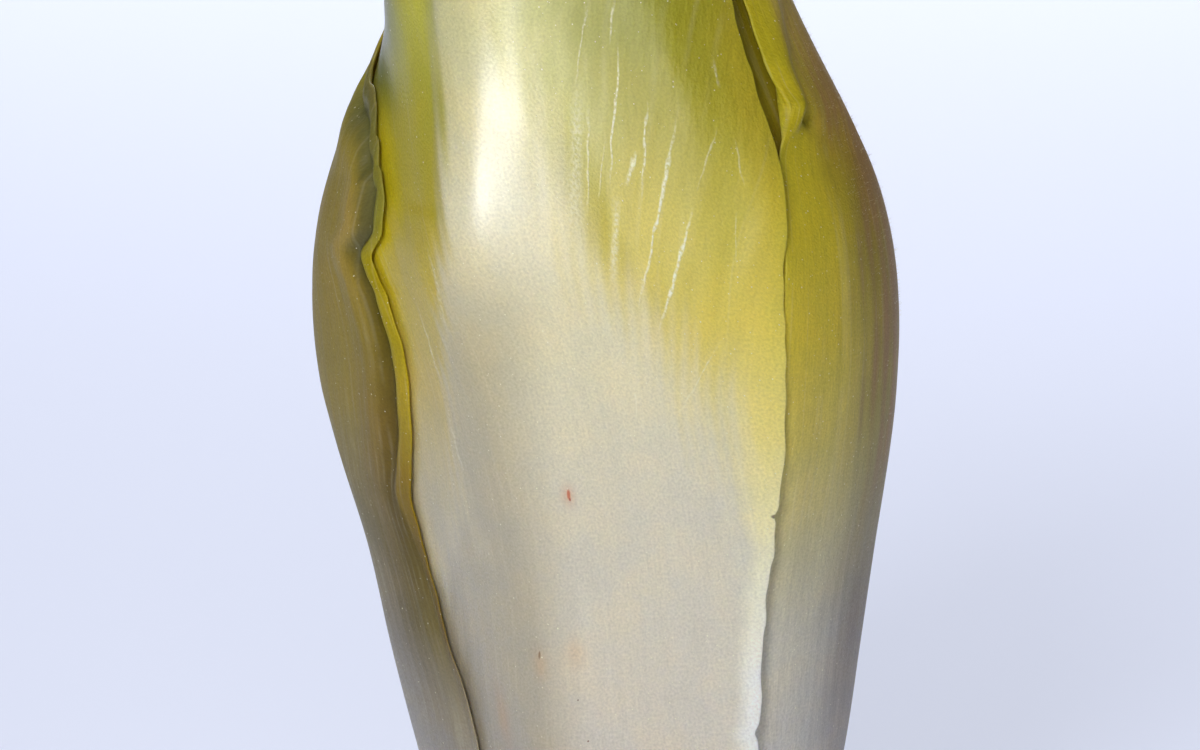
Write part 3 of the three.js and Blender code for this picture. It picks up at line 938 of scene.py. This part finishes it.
# Raised veins of the front leaf, pale and with a painted highlight where they catch the
# light, in mm: how far right and how high they begin, the same for their lower end, half
# width, strength.
VEINS = (
    (-3.2, 108.6, -3.6, 104.6, 0.13, 0.6), (-2.7, 104.1, -3.6, 91.9, 0.13, 1.0),
    (-6.6, 100.6, -7.1, 86.0, 0.7, 0.42), (-5.7, 108.5, -6.9, 100.6, 0.12, 0.5),
    (-5.7, 98.4, -5.6, 88.9, 0.12, 0.6), (0.0, 98.9, -0.5, 90.0, 0.13, 0.8),
    (-1.1, 94.5, -2.0, 91.4, 0.26, 0.8), (2.8, 97.1, -0.7, 80.2, 0.15, 1.0),
    (4.3, 88.8, 1.3, 77.8, 0.17, 1.0), (6.4, 102.8, 6.9, 100.2, 0.12, 0.5),
    (6.6, 96.4, 4.8, 90.9, 0.1, 0.45), (8.4, 95.4, 9.3, 91.2, 0.1, 0.4),
    (-2.9, 90.2, -3.2, 82.5, 0.4, 0.5), (-4.0, 95.6, -4.7, 90.1, 0.1, 0.5),
    (8.6, 88.6, 8.6, 83.6, 0.09, 0.35), (7.0, 76.3, 2.8, 69.0, 0.12, 0.4),
    (-1.1, 72.3, -1.1, 68.7, 0.12, 0.45), (-22.3, 79.0, -19.6, 71.0, 0.12, 0.35),
    (-21.0, 85.0, -19.3, 77.5, 0.12, 0.3), (-19.4, 69.0, -17.6, 62.0, 0.12, 0.3),
)

# Rust spots of the front leaf, in mm: right, up, half width, half height; colour.
SPOTS = (
    (-7.5, 61.4, 0.26, 0.6, "#cf6a3c"), (-7.4, 60.9, 0.13, 0.2, "#a8431c"),
    (-10.3, 44.4, 0.1, 0.5, "#8a6a40"), (-6.6, 39.9, 0.12, 0.12, "#6b4a34"),
    (-5.6, 35.6, 0.12, 0.12, "#7a4a30"), (12.3, 58.6, 0.18, 0.24, "#4f3c18"),
)


def leaf_skin(node, roughness, coat, specular, contrast, marked=False):
    """Waxy leaf: the painted tint, broken up by fibres along its veins, cell grain and
    soft clouds, with pale branching veins and painted glints, small highlights where cells
    stand proud. The marked leaf also has pale veins brightened with painted highlights,
    rust spots and a puckered blade. Arc and height are in mm, so a scale on them is a
    number per mm."""
    tint = node("Attribute", attribute_name="tint")
    growth = node("Attribute", out=1, attribute_name="growth")
    arc, height, fan = node("SeparateXYZ", growth).node.outputs
    flat = node("CombineXYZ", arc, height)

    # Fibres are 0.3 to 2 mm wide and tens of mm long; cells are about 0.25 mm.
    veined = node("CombineXYZ", fan, height)
    slow = node("VectorMath", veined, (7.0, 0.05, 0.0), operation="MULTIPLY")
    quick = node("VectorMath", veined, (7.0, 0.2, 0.0), operation="MULTIPLY")
    broad = node("TexNoise", slow, named={"Scale": 0.7, "Detail": 2.0})
    fibres = node("TexNoise", quick, named={"Scale": 2.6, "Detail": 2.0})
    grain = node("TexNoise", flat, named={"Scale": 3.6, "Detail": 2.0})
    clouds = node("TexNoise", flat, named={"Scale": 0.16, "Detail": 3.0})

    # How much each of them darkens and lightens the tint.
    light = 1.0
    for pattern, depth in (
        (broad, 0.055 * contrast), (fibres, 0.08 * contrast), (grain, 0.11), (clouds, 0.045)
    ):
        level = node("MapRange", pattern, 0.28, 0.72, 1 - depth, 1 + depth)
        light = node("Math", light, level, operation="MULTIPLY")
    toned = node("VectorMath", tint, named={"Scale": light}, operation="SCALE")
    warm = node("VectorMath", toned, (1.02, 0.99, 0.93), operation="MULTIPLY")
    values = {"Factor": node("MapRange", clouds, 0.42, 0.62), "A": toned, "B": warm}
    toned = node("Mix", named=values, data_type="RGBA", out=2)

    # Branching veins are contour lines of a long soft noise: 0.2 mm wide, 2 mm apart.
    long = node("VectorMath", veined, (2.0, 0.018, 0.0), operation="MULTIPLY")
    field = node("TexNoise", long, named={"Scale": 1.0, "Detail": 0.0})
    faint = node("MapRange", apart(node, field, 0.5), 0.01, 0.05, 0.07, 0.0)
    proud = node("Math", faint, node("MapRange", clouds, 0.4, 0.6), operation="MULTIPLY")

    # Glints are painted highlights, pale in the colour and raised in the bump: up to
    # 0.2 mm across, no more than one to a cell 0.5 mm wide.
    cells = node("TexVoronoi", flat, named={"Scale": 1.9}, feature="F1")
    size = node("MapRange", cells.node.outputs["Color"], 0.3, 1.0, 0.0, 0.2)
    painted_glint = node("Math", size, cells, operation="SUBTRACT")
    painted_glint = node("MapRange", painted_glint, 0.0, 0.05, 0.0, 0.8)
    proud = node("Math", proud, painted_glint, operation="MAXIMUM")

    sheen = node("MapRange", grain, 0.3, 0.7, roughness + 0.06, roughness - 0.06)
    reliefs = [(fibres, 0.5 * contrast), (grain, 1.0), (broad, 0.9)]
    if marked:
        at = node("TexCoord", out=3)
        at = node("VectorMath", at, named={"Scale": 1 / MM}, operation="SCALE")
        right, _, up = node("SeparateXYZ", at).node.outputs
        flow = node("CombineXYZ", right, node("Math", up, 0.3, operation="MULTIPLY"))
        wobble = node("TexNoise", flow, named={"Scale": 1.2, "Detail": 1.0})
        wobble = node("MapRange", wobble, 0.2, 0.8, -0.22, 0.22)
        wandering = node("Math", right, wobble, operation="ADD")
        # Veins that are pale, with painted highlights along them.
        veins = veins_and_painted_highlights(node, flat, wandering, up)
        proud = node("Math", proud, veins, operation="MAXIMUM")
        toned = rust_spots(node, toned, wandering, up)
        blade, pucker = puckered_blade(node, flow, right, up)
        sheen = node("Math", blade, 0.2, sheen, operation="MULTIPLY_ADD")
        reliefs.append((pucker, 5.0))

    bumps = node("Math", proud, 1.2, operation="MULTIPLY")
    for pattern, rise in reliefs:
        bumps = node("Math", pattern, rise, bumps, operation="MULTIPLY_ADD")
    # Pale veins, painted glints and painted vein highlights lighten the colour.
    pale = {"Factor": proud, "A": toned, "B": linear("#fbf7d6")}
    bumpy = {"Height": bumps, "Distance": 0.08 * MM, "Strength": 0.6}
    return {
        "Base Color": node("Mix", named=pale, data_type="RGBA", out=2),
        "Roughness": sheen,
        "Normal": node("Bump", named=bumpy),
        "IOR": 1.46,
        "Specular IOR Level": specular,
        "Subsurface Weight": 0.35,
        "Subsurface Radius": (1.0, 0.7, 0.25),
        "Subsurface Scale": 2 * MM,
        "Coat Weight": coat,
        "Coat Roughness": 0.27,
    }


def veins_and_painted_highlights(node, flat, wandering, up):
    """Mask of the marked leaf's veins, pale with a painted highlight: each is bright within
    a half width of a line that wanders, fades towards both ends and is broken into beads
    0.4 mm long."""
    mask = 0.0
    for right_top, top, right_foot, foot, half_width, strength in VEINS:
        line = node("MapRange", up, foot, top, right_foot, right_top, clamp=False)
        off = apart(node, wandering, line)
        line = node("MapRange", off, 0.3 * half_width, 1.2 * half_width, strength, 0.0)
        away = apart(node, up, (top + foot) / 2)
        half = (top - foot) / 2
        reach = node("MapRange", away, 0.45 * half, 1.1 * half, 1.0, 0.0)
        line = node("Math", line, reach, operation="MULTIPLY")
        mask = node("Math", mask, line, operation="MAXIMUM")
    beads = node("TexNoise", flat, named={"Scale": 2.6, "Detail": 1.5})
    beads = node("MapRange", beads, 0.36, 0.6, 0.25, 1.0)
    return node("Math", mask, beads, operation="MULTIPLY")


def rust_spots(node, toned, wandering, up):
    """The marked leaf's colour with its spots, each a soft-edged ellipse in mm."""
    place_on = node("CombineXYZ", wandering, up)
    for right_mm, up_mm, half_width, half_height, shade in SPOTS:
        away = node("VectorMath", place_on, (right_mm, up_mm, 0.0), operation="SUBTRACT")
        size = (1 / half_width, 1 / half_height, 0.0)
        away = node("VectorMath", away, size, operation="MULTIPLY")
        away = node("VectorMath", away, operation="LENGTH", out=1)
        spot = node("MapRange", away, 0.6, 1.1, 0.85, 0.0)
        values = {"Factor": spot, "A": toned, "B": linear(shade)}
        toned = node("Mix", named=values, data_type="RGBA", out=2)
    return toned


def puckered_blade(node, flow, right, up):
    """Mask of the marked leaf's blade, right of a line that leans with the midrib's
    edge, and the 1 mm dimples in which it puckers above the belly."""
    leaning = node("Math", up, 0.51, right, operation="MULTIPLY_ADD")
    blade = node("MapRange", leaning, 41.0, 48.0)
    pucker = node("TexNoise", flow, named={"Scale": 1.0, "Detail": 2.0})
    pucker = node("Math", pucker, blade, operation="MULTIPLY")
    above = node("MapRange", up, 86.0, 97.0)
    return blade, node("Math", pucker, above, operation="MULTIPLY")


def cut_flesh(node):
    """Cut stem: damp cream flesh with a tan ring of vessels, rays across it, and a
    browned rim where the cut has dried."""
    at = node("TexCoord", out=3)
    right, back, _ = node("SeparateXYZ", at).node.outputs
    flat = node("CombineXYZ", right, back)
    radius = node("VectorMath", flat, operation="LENGTH", out=1)
    turn = node("Math", back, right, operation="ARCTAN2")
    # Rays are about 1 mm apart at the rim; pith grain is 0.4 mm; blotches are 4 mm.
    rays = node("TexNoise", node("CombineXYZ", turn, radius), named={"Scale": 9.0})
    grain = node("TexNoise", at, named={"Scale": 2.5 / MM, "Detail": 3.0})
    blotch = node("TexNoise", at, named={"Scale": 0.26 / MM, "Detail": 2.0})
    wander = node("Math", blotch, 1.6 * MM, radius, operation="MULTIPLY_ADD")
    ring = node("MapRange", apart(node, wander, 7.9 * MM), 0.3 * MM, 1.2 * MM, 1.0, 0.0)
    broken = node("MapRange", rays, 0.4, 0.6, 0.35, 0.9)
    ring = node("Math", ring, broken, operation="MULTIPLY")
    dried = node("MapRange", wander, 9.5 * MM, 11.2 * MM, 0.0, 0.6)
    shade = linear("#cdbf9a")
    for amount, other in (
        (node("MapRange", grain, 0.3, 0.7), "#e2d8ba"), (ring, "#a9814c"), (dried, "#9c6b3c")
    ):
        values = {"Factor": amount, "A": shade, "B": linear(other)}
        shade = node("Mix", named=values, data_type="RGBA", out=2)
    height = node("Math", rays, 0.6, grain, operation="MULTIPLY_ADD")
    bumpy = {"Height": height, "Distance": 0.1 * MM, "Strength": 0.6}
    return {
        "Base Color": shade,
        "Roughness": node("MapRange", blotch, 0.35, 0.65, 0.34, 0.55),
        "Normal": node("Bump", named=bumpy),
        "Subsurface Weight": 0.25,
        "Subsurface Radius": (1.0, 0.7, 0.4),
        "Subsurface Scale": 2 * MM,
    }


def bud_leaf(node):
    """Tender furled leaf: pale yellow, streaked lengthways, moist."""
    at = node("TexCoord", out=3)
    # Streaks are about 0.8 mm wide and 11 mm long, and run up the bud; grain is 0.3 mm.
    long = node("Mapping", at, named={"Scale": (1.2 / MM, 1.2 / MM, 0.09 / MM)})
    streaks = node("TexNoise", long, named={"Scale": 1.0, "Detail": 3.0})
    grain = node("TexNoise", at, named={"Scale": 3.5 / MM, "Detail": 2.0})
    amount = node("MapRange", streaks, 0.35, 0.65)
    streaked = {"Factor": amount, "A": linear("#d3c55c"), "B": linear("#e6dfa2")}
    bumpy = {"Height": streaks, "Distance": 0.1 * MM, "Strength": 0.5}
    return {
        "Base Color": node("Mix", named=streaked, data_type="RGBA", out=2),
        "Roughness": node("MapRange", grain, 0.3, 0.7, 0.34, 0.46),
        "Normal": node("Bump", named=bumpy),
        "Subsurface Weight": 0.3,
        "Subsurface Radius": (1.0, 0.8, 0.3),
        "Subsurface Scale": 2 * MM,
    }


def plant_hair(node):
    """Plant hair: clear and pale, so it shows as a fine light fringe."""
    # Hairs differ in tone from one to the next, about 1 mm apart.
    fleck = node("TexNoise", node("TexCoord", out=3), named={"Scale": 0.9 / MM})
    amount = node("MapRange", fleck, 0.4, 0.6)
    flecked = {"Factor": amount, "A": linear("#a89a62"), "B": linear("#d8cfa6")}
    return {
        "Base Color": node("Mix", named=flecked, data_type="RGBA", out=2),
        "Roughness": node("MapRange", fleck, 0.4, 0.6, 0.35, 0.5),
    }


def add_part(piece, material, node):
    """Gives a piece its material, and lets it stand for a CAD node if one is named."""
    piece.data.materials.append(material)
    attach(piece, "root")
    if node:
        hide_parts(node)


# Roughness, coat, specular level and contrast of each.
front_skin = make_material("waxy_front_leaf", leaf_skin, 0.42, 0.6, 0.7, 0.35, marked=True)
side_skin = make_material("dull_outer_leaf", leaf_skin, 0.46, 0.0, 0.25, 1.0)
inner_skin = make_material("waxy_inner_leaf", leaf_skin, 0.36, 0.12, 0.5, 0.8)

# Columns and rows of the outer face, and how many of them an inner cell spans.
FRONT_GRID = (260, 350, 8)
SIDE_GRID = (190, 340, 8)
SHOWING_GRID = (80, 160, 6)
HIDDEN_GRID = (36, 70, 4)
SHOWING_LEAVES = 7  # the ends of these are seen

for k, leaf in enumerate(leaves):
    if k == FRONT:
        grid, skin, slot = FRONT_GRID, front_skin, "outer_leaf"
    elif k < len(OUTER_LEAVES):
        grid, skin, slot = SIDE_GRID, side_skin, "outer_leaf"
    else:
        grid = SHOWING_GRID if k < SHOWING_LEAVES else HIDDEN_GRID
        skin, slot = inner_skin, "inner_leaf"
    add_part(build_leaf(k, *grid), skin, leaf.name)
add_part(
    build_stem(), make_material("cut_stem_flesh", cut_flesh), "stem_core"
)
add_part(build_bud(), make_material("furled_bud_leaf", bud_leaf), "heart_bud")
add_part(build_hairs(), make_material("leaf_hair", plant_hair), None)

# ---------- stage

scene = bpy.context.scene
scene.view_settings.view_transform = "Standard"

# The view, in metres and degrees: its width is measured at the centre.
VIEW_CENTRE = (-4.5 * MM, 0.0, 67.8 * MM)
VIEW_ELEVATION = 13
VIEW_DISTANCE = 0.6
VIEW_WIDTH = 0.12

FLOOR_HALF = 3.0
FLOOR_CENTRE = (0, 0.65, 0)  # of the part behind the head that is lit

# Soft studio lights: name, (width, height), power, azimuth, elevation and distance. All
# look at the head but the last.
LIGHTS = (
    ("key", (0.22, 0.12), 2.4, -17, 29.5, 0.7),
    ("fill_front", (0.35, 0.35), 1.0, 4, 18, 0.8),
    ("fill_right", (0.8, 0.8), 0.05, 70, 30, 1.2),
    ("fill_left", (0.8, 0.8), 0.05, -90, 30, 1.2),
    ("fill_back", (0.9, 0.9), 2.3, 170, 40, 1.4),
    ("floor_wash", (0.9, 0.9), 18.0, 180, 65, 1.2, FLOOR_CENTRE),
)


def add_floor():
    """Level square under the head."""
    half = FLOOR_HALF
    mesh = bpy.data.meshes.new("floor")
    corners = [(-half, -half, 0), (half, -half, 0), (half, half, 0), (-half, half, 0)]
    mesh.from_pydata(corners, [], [(0, 1, 2, 3)])
    mesh.materials.append(make_material("matt_floor", matt_paint))
    add_object("floor", mesh)


def stand(thing, azimuth, elevation, distance, target=VIEW_CENTRE):
    """Stands a camera or light at a distance from a target and turns its front, -Z, to
    it. Azimuth 0 is in front of the head."""
    a, e = math.radians(azimuth), math.radians(elevation)
    thing.location = (
        target[0] + distance * math.sin(a) * math.cos(e),
        target[1] - distance * math.cos(a) * math.cos(e),
        target[2] + distance * math.sin(e),
    )
    way = Vector(target) - thing.location
    thing.rotation_euler = way.to_track_quat("-Z", "Y").to_euler()


def add_camera():
    """Camera whose focal length is to its sensor as the distance is to the width."""
    data = bpy.data.cameras.new("camera")
    data.lens = data.sensor_width * VIEW_DISTANCE / VIEW_WIDTH
    scene.camera = add_object("camera", data)
    stand(scene.camera, 0, VIEW_ELEVATION, VIEW_DISTANCE)


def add_light(name, size, power, *where):
    """Elliptic area light."""
    data = bpy.data.lights.new(name, "AREA")
    data.shape = "ELLIPSE"
    data.size, data.size_y = size
    data.energy = power
    stand(add_object(name, data), *where)


add_floor()
add_camera()
for light_spec in LIGHTS:
    add_light(*light_spec)
world = bpy.data.worlds.new("world")
world.use_nodes = True
sky = world.node_tree.nodes["Background"].inputs
sky["Color"].default_value = linear("#e4e7f0")
sky["Strength"].default_value = 0.04
scene.world = world
